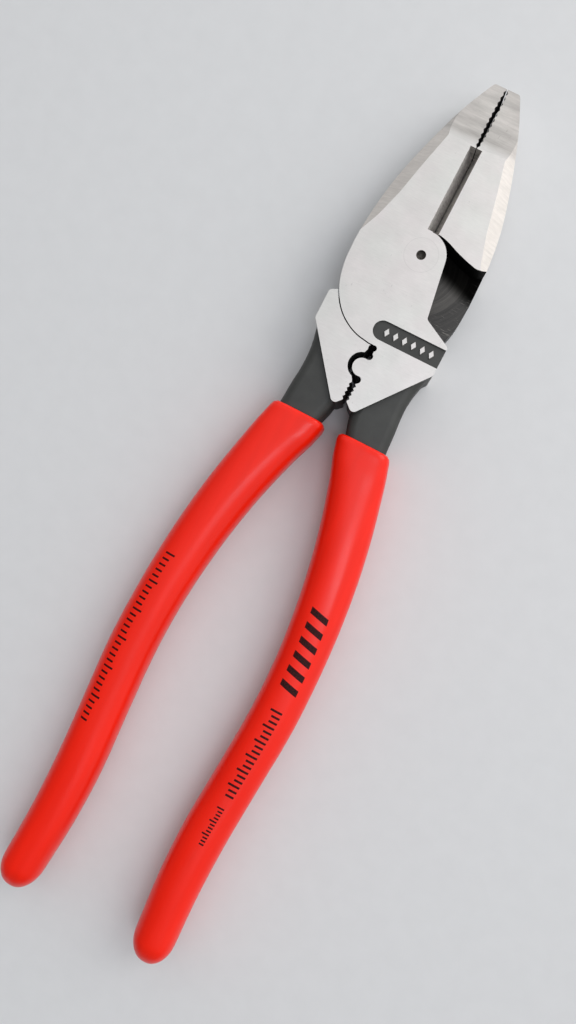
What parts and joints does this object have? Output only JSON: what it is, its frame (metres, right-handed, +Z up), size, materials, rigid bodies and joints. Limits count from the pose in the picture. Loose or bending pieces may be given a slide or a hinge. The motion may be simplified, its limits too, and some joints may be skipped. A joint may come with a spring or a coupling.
{
  "type": "lineman pliers",
  "caption": "Lineman pliers with lap-jointed steel halves, gripping nose, side cutters, a crimping nest behind the pivot and curved dipped plastic grips.",
  "frame": {"origin": "on the pivot axis, at the rivet's flush lower end, in the plane of the head's underside", "axes": "+Y to the jaw tips, +X to the right-hand jaw seen from above, +Z up through the head's thickness"},
  "size_m": [0.0536, 0.2394, 0.015],
  "materials": {
    "forged_steel": "satin ground faces over a matte black forging",
    "rivet_steel": "satin ground flush with the head",
    "grip_plastic": "glossy bright red dipped plastic"
  },
  "bodies": {
    "lower": {"lower_half": "forged_steel", "left_grip": "grip_plastic", "pivot_rivet": "rivet_steel"},
    "upper": {"upper_half": "forged_steel", "right_grip": "grip_plastic"}
  },
  "joints": [
    {"name": "jaw_pivot", "type": "hinge", "parent": "lower", "child": "upper", "pos_m": [0, 0, 0], "axis": [0, 0, 1], "range_deg": [0, 62]}
  ]
}
